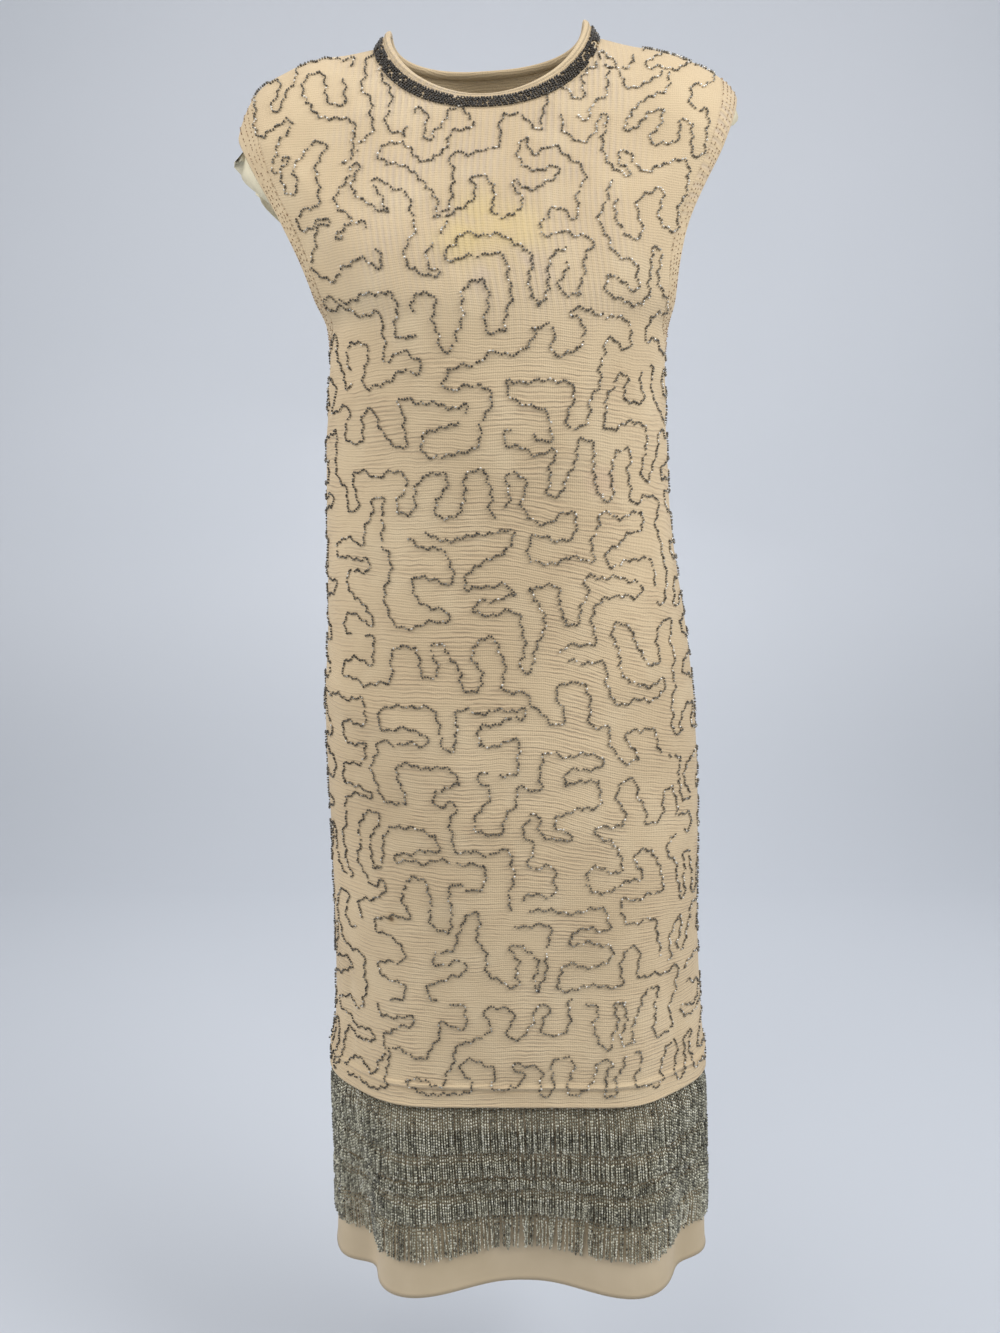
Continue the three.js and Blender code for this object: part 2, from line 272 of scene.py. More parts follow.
def outward(angle, z):
    """Direction straight out of the skin, across its slopes round and up."""
    round_ = skin(angle + 0.6, z) - skin(angle - 0.6, z)
    up = skin(angle, z + 1.5 * MM) - skin(angle, z - 1.5 * MM)
    return unit(np.cross(round_, up))


def crease_reach(angle, z):
    """Soft ridges and troughs along short straight stretches, fading off to both sides and
    towards both ends."""
    degree = 2.7 * MM  # the distance round that one degree stands for
    angle = np.asarray(angle) % 360
    angle = np.where(angle > 270, angle - 360, angle)
    total = np.zeros(np.broadcast(angle, z).shape)
    for a, top, b, bottom, width, reach in zip(*CREASES.values()):
        start = np.array([a * degree, top * MM])
        run = np.array([b * degree, bottom * MM]) - start
        across, down = angle * degree - start[0], z - start[1]
        along = np.clip((across * run[0] + down * run[1]) / (run @ run), 0, 1)
        gap = np.hypot(across - along * run[0], down - along * run[1])
        fade = np.sqrt(np.clip(np.sin(np.pi * (0.06 + 0.88 * along)), 0, 1))
        total += reach * MM * fade * np.exp(-((gap / (width * MM)) ** 2))
    return total


def angle_at(x, z):
    """The angle at which the skin stands a distance x across at level z."""
    across = (x - section("mid_x", z)) / section("half", z)
    sine = np.minimum(np.abs(across), 1) ** (section("square", z) / 2)
    return np.sign(across) * np.degrees(np.arcsin(sine))


def armhole(side, down, inset):
    """Angle and level on an armhole's edge or inset from it: down is 0 at the shoulder tip and
    1 under the arm, and the opening widens to its reach and closes to a round end."""
    tip_x = side * (SHOULDER_TIP - inset)
    tip_z = ridge(tip_x)
    z = tip_z + (UNDERARM - inset - tip_z) * down
    tip_reach = 90 - abs(angle_at(tip_x, tip_z))
    widest = ARMHOLE_REACH + ARMHOLE_WIDEN * inset
    reach = tip_reach + (widest - tip_reach) * np.sin(np.pi / 2 * np.clip(2 * down, 0, 1))
    return side * (90 - reach * np.sqrt(1 - down**ARMHOLE_BOW)), z


def neckline(turn, drop):
    """Angle and level on the neckline, turn going from -90 to 90 across it."""
    sine = np.sin(np.radians(turn))
    x = NECK_HALF * np.sign(sine) * np.abs(sine) ** NECK_SQUARE
    dip = drop * np.maximum(np.cos(np.radians(turn)), 0)
    z = np.minimum(NECK_LIFT + SHOULDER_TILT * x / NECK_HALF - dip, ridge(x))
    return angle_at(x, z), z


def top_edge(across, drop, inset):
    """Angle and level along a panel's top edge: shoulder, neckline, shoulder."""
    neck_angle, neck_z = neckline(np.clip(90 * across / NECK_SHARE, -90, 90), drop)
    out = np.clip((np.abs(across) - NECK_SHARE) / (1 - NECK_SHARE), 0, 1)
    x = np.sign(across) * (NECK_HALF + (SHOULDER_TIP - inset - NECK_HALF) * out)
    z = ridge(x)
    on_neck = np.abs(across) <= NECK_SHARE
    return np.where(on_neck, neck_angle, angle_at(x, z)), np.where(on_neck, neck_z, z)


def slipped(side, down, inset):
    """Inset of the lining's armhole edge, which has slipped out past the knit near the caps."""
    reach, middle, width = ((22, 0.24, 0.13), (13, 0.10, 0.07))[side > 0]
    return inset - reach * MM * np.exp(-(((down - middle) / width) ** 2)) * ease(down / 0.05)


def yoke(across, up, drop, inset):
    """Angle and level inside the yoke: the blend of chest line and top edge, plus the blend of
    the two armholes, less the blend of the four corners."""
    across, up = np.meshgrid(across, up)
    right = (across + 1) / 2
    top = top_edge(across, drop, inset)
    corners = top_edge(np.array([-1.0, 1.0]), drop, inset)
    edge, other = armhole(1, 1 - up, inset), armhole(-1, 1 - up, inset)
    chest = (90 * across, np.full_like(up, UNDERARM - inset))
    low = ((-90.0, 90.0), (UNDERARM - inset,) * 2)
    spots = []
    for i in range(2):
        rise = chest[i] * (1 - up) + top[i] * up
        width = other[i] * (1 - right) + edge[i] * right
        left_corner = low[i][0] * (1 - up) + corners[i][0] * up
        right_corner = low[i][1] * (1 - up) + corners[i][1] * up
        spots.append(rise + width - left_corner * (1 - right) - right_corner * right)
    return spots


# Distance round the dress from the middle of the front or back, and the angle at a distance.
ARC_LEVELS = np.linspace(-1.14, 0.012, 289)
ARC_TURNS = np.arange(-100.0, 101.0)
ARC_REACH = 0.32
ARC_STEPS = 320


def arc_tables(face):
    """Distance along each level's section from the face's middle, and its inverse."""
    turns, levels = np.meshgrid(ARC_TURNS, ARC_LEVELS)
    points = skin(middle_of(face) + turns, levels)
    steps = np.linalg.norm(np.diff(points, axis=1), axis=2)
    arcs = np.pad(np.cumsum(steps, axis=1), ((0, 0), (1, 0)))
    middle_column = len(ARC_TURNS) // 2
    arcs -= arcs[:, middle_column:middle_column + 1]
    at = np.linspace(-ARC_REACH, ARC_REACH, 2 * ARC_STEPS + 1)
    turns_at = np.array([np.interp(at, row, ARC_TURNS) for row in arcs])
    return arcs, turns_at


def sample(grid, row, column):
    """Value of a grid between its points, by parts of each neighbour."""
    row = np.clip(row, 0, grid.shape[0] - 1.001)
    column = np.clip(column, 0, grid.shape[1] - 1.001)
    r, c = row.astype(int), column.astype(int)
    fr, fc = row - r, column - c
    low = grid[r, c] * (1 - fc) + grid[r, c + 1] * fc
    high = grid[r + 1, c] * (1 - fc) + grid[r + 1, c + 1] * fc
    return low * (1 - fr) + high * fr


ARCS = {face: arc_tables(face) for face in (1, -1)}


def level_row(z):
    """Row of the arc tables at a level."""
    return (z - ARC_LEVELS[0]) / (ARC_LEVELS[1] - ARC_LEVELS[0])


def arc_of(face, turn, z):
    """Distance from the face's middle at a turn and level."""
    return sample(ARCS[face][0], level_row(z), turn - ARC_TURNS[0])


def turn_at(face, arc, z):
    """Turn from the face's middle at a distance and level."""
    return sample(ARCS[face][1], level_row(z), (arc + ARC_REACH) * ARC_STEPS / ARC_REACH)


# ---------------------------------------------------------------- meshes
def new_mesh(name, points, faces, finish, smooth=True):
    """A mesh object at the origin from arrays of points and equal-sided faces."""
    mesh = bpy.data.meshes.new(name)
    count, sides = faces.shape
    mesh.vertices.add(len(points))
    mesh.vertices.foreach_set("co", np.ascontiguousarray(points, np.float32).ravel())
    mesh.loops.add(count * sides)
    mesh.loops.foreach_set("vertex_index", np.ascontiguousarray(faces, np.int32).ravel())
    mesh.polygons.add(count)
    mesh.polygons.foreach_set("loop_start", np.arange(count, dtype=np.int32) * sides)
    mesh.polygons.foreach_set("use_smooth", np.full(count, smooth))
    mesh.update(calc_edges=True)
    mesh.validate()
    mesh.materials.append(finish)
    piece = bpy.data.objects.new(name, mesh)
    bpy.context.scene.collection.objects.link(piece)
    return piece


def grid_faces(rows, columns, ring=False, tube=False):
    """Four-sided faces of a grid. ring closes it across its columns, tube across its rows."""
    across = columns if ring else columns - 1
    upward = rows if tube else rows - 1
    r, c = np.meshgrid(np.arange(upward), np.arange(across), indexing="ij")
    r, c = r.ravel(), c.ravel()
    next_c, next_r = (c + 1) % columns, (r + 1) % rows
    corners = [r * columns + c, r * columns + next_c, next_r * columns + next_c, next_r * columns + c]
    return np.stack(corners, axis=1)


def set_uv(piece, uv):
    """A UV map from a value for each vertex, in metres."""
    layer = piece.data.uv_layers.new(name="UVMap")
    at = np.zeros(len(piece.data.loops), np.int32)
    piece.data.loops.foreach_get("vertex_index", at)
    layer.data.foreach_set("uv", np.ascontiguousarray(uv[at], np.float32).ravel())


def set_value(piece, name, values):
    """A named number at each vertex, for a material to read."""
    layer = piece.data.attributes.new(name, "FLOAT", "POINT")
    layer.data.foreach_set("value", np.ascontiguousarray(values, np.float32))


def grid_normals(points, ring=False):
    """Outward direction at each point of a grid, across its neighbours."""
    if ring:
        wide = np.concatenate([points[:, -1:], points, points[:, :1]], axis=1)
        across = (wide[:, 2:] - wide[:, :-2]) / 2
    else:
        across = np.gradient(points, axis=1)
    return unit(np.cross(across, np.gradient(points, axis=0)))


def thicken(piece, wall):
    """A wall that grows inwards from the sheet."""
    solid = piece.modifiers.new("wall", "SOLIDIFY")
    solid.thickness = wall
    solid.offset = -1
    solid.use_even_offset = False
    return piece


def place(piece, slot, *nodes):
    """Fix a piece to the body and hide the imported nodes that it stands for. The slot is not used."""
    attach(piece, BODY)
    if nodes:
        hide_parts(*nodes)
    return piece


def band_mesh(name, points, finish, length, height, tube=False):
    """A closed band from rows of points, with a UV map of the band laid flat."""
    faces = grid_faces(*points.shape[:2], ring=True, tube=tube)
    piece = new_mesh(name, points.reshape(-1, 3), faces, finish)
    flat = np.meshgrid(np.linspace(0, length, points.shape[1]), np.linspace(0, height, len(points)))
    set_uv(piece, np.stack(flat, axis=-1).reshape(-1, 2))
    return piece


def bead_form(sides):
    """A barrel bead of unit radius and length: two rings and two end points."""
    girth, shoulder = 0.94, 0.27
    turn = np.linspace(0, 2 * np.pi, sides, endpoint=False)
    ring = [(girth * math.cos(t), girth * math.sin(t)) for t in turn]
    rings = [(along, *spot) for along in (-shoulder, shoulder) for spot in ring]
    points = np.array([(-0.5, 0, 0), *rings, (0.5, 0, 0)])
    faces = []
    last = 2 * sides + 1
    for i in range(sides):
        j = (i + 1) % sides
        low, next_low, high, next_high = 1 + i, 1 + j, 1 + sides + i, 1 + sides + j
        faces += [(0, next_low, low), (low, next_low, next_high)]
        faces += [(low, next_high, high), (high, next_high, last)]
    return points, np.array(faces)


def bead_mesh(name, centres, run, out, radius, length, tone, finish, sides=5):
    """Many beads in one mesh: each has its hole along run and one side towards out."""
    form, faces = bead_form(sides)
    run = unit(run)
    across = unit(np.cross(out, run))
    out = np.cross(run, across)
    radius = np.broadcast_to(radius, len(centres))[:, None, None]
    length = np.broadcast_to(length, len(centres))[:, None, None]
    points = centres[:, None] + length * form[None, :, 0:1] * run[:, None]
    points = points + radius * (form[None, :, 1:2] * out[:, None] + form[None, :, 2:3] * across[:, None])
    starts = np.arange(len(centres))[:, None, None] * len(form)
    every_face = (faces[None] + starts).reshape(-1, 3)
    piece = new_mesh(name, points.reshape(-1, 3), every_face, finish)
    set_value(piece, "tone", np.repeat(tone, len(form)))
    return piece


# ---------------------------------------------------------------- materials
class Value:
    """A shader socket with a number on it: sums on it add Math nodes."""

    def __init__(self, finish, socket):
        self.finish, self.socket = finish, socket

    def _math(self, operation, *inputs):
        return self.finish.value("ShaderNodeMath", {"operation": operation}, dict(enumerate(inputs)))

    def __add__(self, other):
        return self._math("ADD", self, other)

    def __radd__(self, other):
        return self._math("ADD", other, self)

    def __sub__(self, other):
        return self._math("SUBTRACT", self, other)

    def __rsub__(self, other):
        return self._math("SUBTRACT", other, self)

    def __mul__(self, other):
        return self._math("MULTIPLY", self, other)

    def __rmul__(self, other):
        return self._math("MULTIPLY", other, self)

    def __pow__(self, other):
        return self._math("POWER", self, other)

    def wave(self, length):
        """A sine wave along the value, one for each length."""
        return self._math("SINE", self * (2 * math.pi / length))

    def step(self, low, high):
        """0 below low and 1 above high, with a smooth step between."""
        limits = {"Value": self, "From Min": low, "From Max": high}
        return self.finish.value("ShaderNodeMapRange", {"interpolation_type": "SMOOTHSTEP"}, limits)


class Finish:
    """A material being made: a shader, and the nodes that feed it."""

    def __init__(self, name, **settings):
        self.material = bpy.data.materials.new(name)
        self.material.use_nodes = True
        self.tree = self.material.node_tree
        self.shader = self.tree.nodes["Principled BSDF"]
        for socket, value in settings.items():
            self.shader.inputs[socket.replace("_", " ")].default_value = value

    def node(self, kind, settings=None, inputs=None):
        """One node: its settings first, then the values or links of its sockets."""
        node = self.tree.nodes.new(kind)
        for name, value in (settings or {}).items():
            if name == "stops":
                ramp = node.color_ramp.elements
                while len(ramp) < len(value):
                    ramp.new(0.5)
                for element, (position, colour) in zip(ramp, value):
                    element.position = position
                    element.color = (*colour, 1)
            else:
                setattr(node, name, value)
        for name, value in (inputs or {}).items():
            socket = node.inputs[name]
            if isinstance(value, Value):
                value = value.socket
            if isinstance(value, bpy.types.NodeSocket):
                self.tree.links.new(value, socket)
            else:
                socket.default_value = value
        return node

    def value(self, kind, settings, inputs, output=0):
        """One node, as the value that it puts out."""
        return Value(self, self.node(kind, settings, inputs).outputs[output])

    def place(self):
        """Places on the dress, in metres."""
        return self.node("ShaderNodeTexCoord").outputs["Object"]

    def cloth(self):
        """Distance round and level on the cloth, in metres."""
        uv = self.node("ShaderNodeUVMap", {"uv_map": "UVMap"}).outputs["UV"]
        parts = self.node("ShaderNodeSeparateXYZ", {}, {"Vector": uv})
        return uv, Value(self, parts.outputs["X"]), Value(self, parts.outputs["Y"])

    def noise(self, where, scale, detail, stretch=(1, 1, 1)):
        moved = self.node("ShaderNodeMapping", {}, {"Vector": where, "Scale": stretch}).outputs["Vector"]
        return self.value("ShaderNodeTexNoise", {}, {"Vector": moved, "Scale": scale, "Detail": detail})

    def spot(self, where, centre, size):
        """1 at a point of the dress, fading to 0 at a distance from it."""
        off = self.value("ShaderNodeVectorMath", {"operation": "SUBTRACT"}, {0: where, 1: centre})
        scaled = self.value("ShaderNodeVectorMath", {"operation": "DIVIDE"}, {0: off, 1: size})
        far = self.value("ShaderNodeVectorMath", {"operation": "LENGTH"}, {0: scaled}, "Value")
        return 1 - far.step(0.2, 1)

    def mix(self, factor, first, second):
        """A colour between two."""
        settings = {"data_type": "RGBA"}
        return self.value("ShaderNodeMix", settings, {0: factor, 6: first, 7: second}, 2).socket

    def attribute(self, name):
        """The number that set_value gave each vertex."""
        return self.value("ShaderNodeAttribute", {"attribute_name": name}, {}, "Fac")

    def ramp(self, value, stops):
        """The colour that a number picks along a row of stops."""
        return self.value("ShaderNodeValToRGB", {"stops": stops}, {0: value}).socket

    def paint(self, **links):
        """Feed sockets of the shader."""
        for socket, value in links.items():
            source = value.socket if isinstance(value, Value) else value
            self.tree.links.new(source, self.shader.inputs[socket.replace("_", " ")])

    def bump(self, height, distance, strength):
        inputs = {"Height": height, "Distance": distance, "Strength": strength}
        bump = self.node("ShaderNodeBump", {}, inputs)
        self.paint(Normal=bump.outputs["Normal"])


def colour(r, g, b):
    """An opaque colour."""
    return (r, g, b, 1.0)


# Old stains on the knit: where, how large, the window of the patchy noise they show in, how strong.
STAINS = [
    dict(at=(0.002, -0.10, -0.195), size=(0.062, 0.2, 0.052), patchy=(0.35, 0.6), part=0.6,
         tint=colour(0.66, 0.50, 0.20)),
    dict(at=(0.016, -0.10, -0.222), size=(0.045, 0.2, 0.03), patchy=(0.42, 0.58), part=0.42,
         tint=colour(0.52, 0.42, 0.42)),
    dict(at=(0.094, -0.10, -0.385), size=(0.020, 0.2, 0.018), patchy=(0.3, 0.6), part=0.25,
         tint=colour(0.62, 0.40, 0.30)),
    dict(at=(-0.084, -0.11, -0.762), size=(0.010, 0.2, 0.010), patchy=None, part=0.25,
         tint=colour(0.42, 0.27, 0.12)),
    dict(at=(-0.084, -0.11, -0.762), size=(0.0035, 0.2, 0.0035), patchy=None, part=0.8,
         tint=colour(0.10, 0.05, 0.02)),
]
RIDGE_PITCH = 3.6 * MM
FINE_RIDGE_PITCH = 2.1 * MM
RIB_PITCH = 5.2 * MM
STITCH_PITCH = 1.7 * MM
WEAVE_PITCH = 0.7 * MM


def knit_finish():
    """Cream wool knit: fine cross ridges and ribs on the chest, with painted shade in their troughs,
    faint upright stitches, uneven tone and old stains."""
    f = Finish("cream_knit", Roughness=0.88, Sheen_Weight=0.12, Sheen_Roughness=0.5, Specular_IOR_Level=0.25)
    where = f.place()
    uv, across, level = f.cloth()
    wobble = f.noise(uv, 9.0, 2.0) * 0.016 + f.noise(uv, 70.0, 2.0) * 0.0030
    pull = (across + 0.06).step(0, 0.16) * (level + 0.86).step(0, 0.2) * (-0.30 - level).step(0, 0.2)
    slanted = level + wobble + across * pull * 0.22
    strength = f.noise(where, 30.0, 3.0).step(0.35, 0.7)
    broken = f.noise(uv, 190.0, 2.0, (0.35, 1, 1)).step(0.3, 0.65)
    ridges = 1 - (0.5 - slanted.wave(RIDGE_PITCH) * 0.5) * (0.35 + 0.65 * broken)
    fine = slanted.wave(FINE_RIDGE_PITCH) * 0.5 + 0.5
    chest = (level + 0.30).step(0, 0.12) * (0.16 - (across * across) ** 0.5).step(0, 0.08)
    upright = f.noise(uv, 30.0, 1.0, (1, 0.12, 1))
    ribs = (across + upright * 0.004).wave(RIB_PITCH) * 0.5 + 0.5
    stitches = (across + wobble * 0.3).wave(STITCH_PITCH) * 0.5 + 0.5
    fuzz = f.noise(uv, 900.0, 3.0)
    cloudy = f.noise(where, 7.0, 4.0)
    patch = f.noise(where, 26.0, 3.0)
    base = f.mix(cloudy.step(0.3, 0.7), colour(0.578, 0.446, 0.275), colour(0.684, 0.536, 0.338))
    base = f.mix(patch.step(0.45, 0.75) * 0.35, base, colour(0.74, 0.61, 0.405))
    body = (-0.23 - level).step(0, 0.10)
    # Painted shade: the troughs between the knit's ridges are darkened below the chest, and the fine ridges
    # everywhere; the fuzz added in the mix is the yarn's own uneven tone.
    shade = (1 - ridges) * (0.05 + 0.25 * strength) * body + (1 - fine) * 0.06
    base = f.mix(shade + 0.12 * fuzz, base, colour(0.42, 0.275, 0.175))
    # Painted shade in the troughs between the chest's ribs.
    base = f.mix((1 - ribs) * chest * (0.12 + 0.30 * strength), base, colour(0.46, 0.38, 0.33))
    for stain in STAINS:
        spot = f.spot(where, stain["at"], stain["size"])
        if stain["patchy"]:
            spot = spot * patch.step(*stain["patchy"])
        base = f.mix(spot * stain["part"], base, stain["tint"])
    f.paint(Base_Color=base)
    height = ridges * body * (0.2 + strength) + fine * 0.3 + ribs * chest * (0.3 + strength)
    f.bump(height + stitches * 0.2 + fuzz * 0.5, 0.0007, 0.8)
    return f.material


def silk_finish():
    """Pale yellow-green silk with a low sheen and a fine weave."""
    f = Finish("lining_silk", Roughness=0.42, Sheen_Weight=0.1, Specular_IOR_Level=0.4)
    uv, across, level = f.cloth()
    tone = f.noise(f.place(), 14.0, 3.0)
    f.paint(Base_Color=f.mix(tone.step(0.3, 0.7), colour(0.66, 0.59, 0.41), colour(0.78, 0.71, 0.52)))
    weave = across.wave(WEAVE_PITCH) * level.wave(WEAVE_PITCH)
    f.bump(weave * 0.4 + f.noise(uv, 35.0, 3.0) * 3.0, 0.0004, 0.5)
    return f.material


def crepe_finish():
    """Tan crepe of the underskirt: matt, a little mottled, with a pebbled face and painted shade along its
    rolled hem.
    """
    f = Finish("tan_crepe", Roughness=0.72, Sheen_Weight=0.08, Specular_IOR_Level=0.3)
    where = f.place()
    uv, across, level = f.cloth()
    tone = f.noise(where, 11.0, 4.0)
    base = f.mix(tone.step(0.3, 0.7), colour(0.50, 0.395, 0.255), colour(0.58, 0.465, 0.315))
    # Painted shade: the lowest 6 mm of the rolled hem are darkened where it turns under.
    hem = (level - UNDERSKIRT_HEM).step(0.0, 0.006)
    f.paint(Base_Color=f.mix((1 - hem) * 0.35, base, colour(0.36, 0.27, 0.16)))
    f.bump(f.noise(uv, 1500.0, 3.0) + f.noise(uv, 60.0, 2.0) * 2.0, 0.0003, 0.5)
    return f.material


def bead_finish(name, stops, metal, rough):
    """Glass beads of mixed tones: each bead's tone picks its colour along a row of stops."""
    f = Finish(name, Metallic=metal, Roughness=rough, Coat_Weight=0.5, Coat_Roughness=0.12)
    tone = f.attribute("tone")
    dust = f.noise(f.place(), 420.0, 2.0)
    f.paint(Base_Color=f.mix(dust.step(0.5, 0.8) * 0.25, f.ramp(tone, stops), colour(0.30, 0.26, 0.20)))
    f.paint(Roughness=rough + dust * 0.2)
    return f.material


# Colours of each sort of bead, from its darkest tone to its brightest. The brightest stops are partly pale
# beads and partly painted glints.
GUNMETAL = [
    (0.00, (0.030, 0.026, 0.022)),
    (0.30, (0.085, 0.072, 0.055)),
    (0.55, (0.150, 0.130, 0.100)),
    (0.78, (0.260, 0.235, 0.190)),
    (0.92, (0.480, 0.450, 0.390)),
    (1.00, (0.800, 0.760, 0.680)),
]
OLIVE = [
    (0.00, (0.040, 0.038, 0.028)),
    (0.35, (0.185, 0.175, 0.130)),
    (0.60, (0.430, 0.410, 0.310)),
    (0.82, (0.720, 0.690, 0.550)),
    (1.00, (0.720, 0.700, 0.600)),
]
BROWN = [
    (0.00, (0.012, 0.009, 0.006)),
    (0.40, (0.048, 0.034, 0.020)),
    (0.70, (0.100, 0.075, 0.045)),
    (0.90, (0.300, 0.235, 0.140)),
    (1.00, (0.620, 0.520, 0.360)),
]
RUST = [(0.0, (0.30, 0.17, 0.09)), (1.0, (0.52, 0.38, 0.24))]

knit = knit_finish()
silk = silk_finish()
crepe = crepe_finish()
line_beads = bead_finish("line_beads", GUNMETAL, 0.55, 0.26)
fringe_beads = bead_finish("fringe_beads", OLIVE, 0.45, 0.32)
neck_dark = bead_finish("neck_beads_finish", BROWN, 0.3, 0.3)
rust_thread = bead_finish("rust_thread", RUST, 0.0, 0.7)


# ---------------------------------------------------------------- cloth pieces
def cloth_point(angle, z, offset=0.0):
    """A point of the creased cloth, moved out from it."""
    out = outward(angle, z)
    return skin(angle, z) + out * (crease_reach(angle, z) + offset)[..., None], out


def bell(z, middle, width):
    """A bell-shaped ridge of height 1 round a level."""
    return np.exp(-(((z - middle) / width) ** 2))


def tuck_reach(z):
    """The ridge of the tuck, the dip of its stitching and the hem's roll below it."""
    stitching = TUCK - 4.0 * MM
    height = 2.0 * bell(z, TUCK, 2.2 * MM) - bell(z, stitching, 1.8 * MM)
    return (height + 0.8 * bell(z, OVERDRESS_HEM, 3.0 * MM)) * MM


def panel_spots(face, lowest, rows, inset, loose):
    """Angles and levels of a panel's grid, rows climbing, columns to the right from outside.
    Rows are close together near the hem, for its roll and its tuck."""
    body_rows, yoke_rows, columns = rows
    across = np.linspace(-1, 1, columns)
    hem_levels = np.linspace(lowest, lowest + HEM_ZONE, 26, endpoint=False)
    body_levels = np.linspace(lowest + HEM_ZONE, UNDERARM - inset, body_rows, endpoint=False)
    body_angle, body_z = np.meshgrid(90 * across, np.concatenate([hem_levels, body_levels]))
    up = ease(np.linspace(0, 1, yoke_rows))
    yoke_angle, yoke_z = yoke(across, up, NECK_DROP[face], inset)
    sides = (1, -1) if loose else ()
    for side in sides:
        kept = armhole(side, 1 - up, inset)
        moved = armhole(side, 1 - up, slipped(side, 1 - up, inset))
        share = np.clip(side * across, 0, 1)[None, :] ** 9
        yoke_angle = yoke_angle + (moved[0] - kept[0])[:, None] * share
        yoke_z = yoke_z + (moved[1] - kept[1])[:, None] * share
    angle, z = np.concatenate([body_angle, yoke_angle]), np.concatenate([body_z, yoke_z])
    if face < 0:
        angle, z = 180 - angle[:, ::-1], z[:, ::-1]
    return angle, z


def panel(name, face, finish, lowest, rows, offset, wall, inset, loose):
    """A panel on the skin, with its creases, as a thin wall. A loose one has no tuck."""
    angle, z = panel_spots(face, lowest, rows, inset, loose)
    points = skin(angle, z)
    reach = crease_reach(angle, z) + offset
    if not loose:
        reach = reach + tuck_reach(z)
    points = points + grid_normals(points) * reach[..., None]
    piece = new_mesh(name, points.reshape(-1, 3), grid_faces(*z.shape), finish)
    arc = arc_of(face, angle - middle_of(face), z)
    set_uv(piece, np.stack([arc.ravel(), z.ravel()], axis=1))
    return thicken(piece, wall)


def knit_panel(name, face):
    """The front or the back, down to the turned-up hem."""
    return panel(name, face, knit, OVERDRESS_HEM, (86, 52, 108), 0, KNIT_WALL, ARMHOLE_BAND, False)


def lining_panel(name, face):
    """The lining inside the front or the back, down to the bust line."""
    return panel(name, face, silk, LINING_HEM, (6, 40, 80), -LINING_IN, SILK_WALL, LINING_INSET, True)


front = place(knit_panel("front_knit", 1), "knit", "front")
back = place(knit_panel("back_knit", -1), "knit", "back")
lining_front = place(lining_panel("front_lining", 1), "lining", "lining_front")
lining_back = place(lining_panel("back_lining", -1), "lining", "lining_back")


def armhole_band(name, side):
    """Band round an armhole: rows from its seam to its rolled edge, all round the opening."""
    down = ease(np.linspace(0, 1, 46))
    insets, raised = zip(*ARMHOLE_ROWS)
    rows = []
    for inset in insets:
        angle, z = armhole(side, down, inset * MM)
        front_half = cloth_point(angle, z)[0]
        back_half = cloth_point(180 - angle, z)[0]
        loop = np.concatenate([front_half[:-1], back_half[::-1][:-1]])
        rows.append(loop if side > 0 else loop[::-1])
    points = np.array(rows)
    out = grid_normals(points, ring=True)
    points = points + out * (np.array(raised) * MM)[:, None, None]
    piece = band_mesh(name, points, knit, 0.43, ARMHOLE_BAND)
    return thicken(piece, KNIT_WALL), points, out


band_left, band_left_points, band_left_out = armhole_band("armhole_band_of_the_left_arm", 1)
band_right, band_right_points, band_right_out = armhole_band("armhole_band_of_the_right_arm", -1)
place(band_left, "knit", "armhole_band_left")
place(band_right, "knit", "armhole_band_right")


def neck_loop(count=240):
    """Points of the neck's edge all round, from the neck point at -X by the front."""
    turn = np.linspace(-90, 90, count // 2 + 1)
    angle, z = neckline(turn, NECK_DROP[1])
    front_half = skin(angle, z)
    angle, z = neckline(turn, NECK_DROP[-1])
    back_half = skin(180 - angle, z)
    return np.concatenate([front_half[:-1], back_half[::-1][:-1]])


def risen(loop, rise, distance):
    """A loop moved in towards the neck and up, along one slope."""
    inward = np.stack([-loop[:, 0], NECK_CENTRE_Y - loop[:, 1], 0 * loop[:, 0]], axis=1)
    step = unit(inward) * math.cos(rise)
    step[:, 2] = math.sin(rise)
    return loop + step * distance


NECK_EDGE = neck_loop()


def neck_band():
    """The base of the neck band, a soft wall between two loops."""
    heights, raised = zip(*NECK_ROWS)
    points = np.array([risen(NECK_EDGE, NECK_BAND_RISE, height * MM) for height in heights])
    points = points + grid_normals(points, ring=True) * (np.array(raised) * MM)[:, None, None]
    return thicken(band_mesh("neck_band_base", points, knit, 0.48, 14 * MM), 1.2 * MM)


def neck_binding():
    """The rolled binding: a flattened round section carried round the band's top edge."""
    half_height, half_depth = 3.6 * MM, 2.0 * MM
    base = risen(NECK_EDGE, NECK_BAND_RISE, NECK_BAND)
    along = unit(risen(base, NECK_BINDING_RISE, 1.0) - base)
    out = unit(np.cross(loop_run(base), along))
    centre = base + along * 3.4 * MM - out * 0.9 * MM
    turn = np.linspace(0, 2 * np.pi, 14, endpoint=False)
    rows = [centre + along * half_height * math.sin(t) + out * half_depth * math.cos(t) for t in turn]
    return band_mesh("neck_binding_roll", np.array(rows), knit, 0.44, 18 * MM, tube=True)


band_base = place(neck_band(), "knit", "neck_bead_band")
place(neck_binding(), "knit", "neck_binding")


def underskirt(name, face):
    """Half of the underskirt, stepped in behind the fringe, with a rolled hem."""
    levels = np.linspace(UNDERSKIRT_HEM, UNDERSKIRT_TOP, 60)
    turns, levels = np.meshgrid(np.linspace(-90, 90, 110), levels)
    angle = middle_of(face) + turns
    offset = np.interp(levels / MM, UNDERSKIRT["z"], UNDERSKIRT["offset"]) * MM
    hem = 0.7 * MM * bell(levels, UNDERSKIRT_HEM, 2.5 * MM)
    points = skin(angle, levels)
    points = points + grid_normals(points) * (offset + hem)[..., None]
    piece = new_mesh(name, points.reshape(-1, 3), grid_faces(*levels.shape), crepe)
    set_uv(piece, np.stack([arc_of(face, turns, levels).ravel(), levels.ravel()], axis=1))
    return thicken(piece, CREPE_WALL)


skirt_front = place(underskirt("front_underskirt", 1), "crepe", "underskirt_front")
skirt_back = place(underskirt("back_underskirt", -1), "crepe", "underskirt_back")


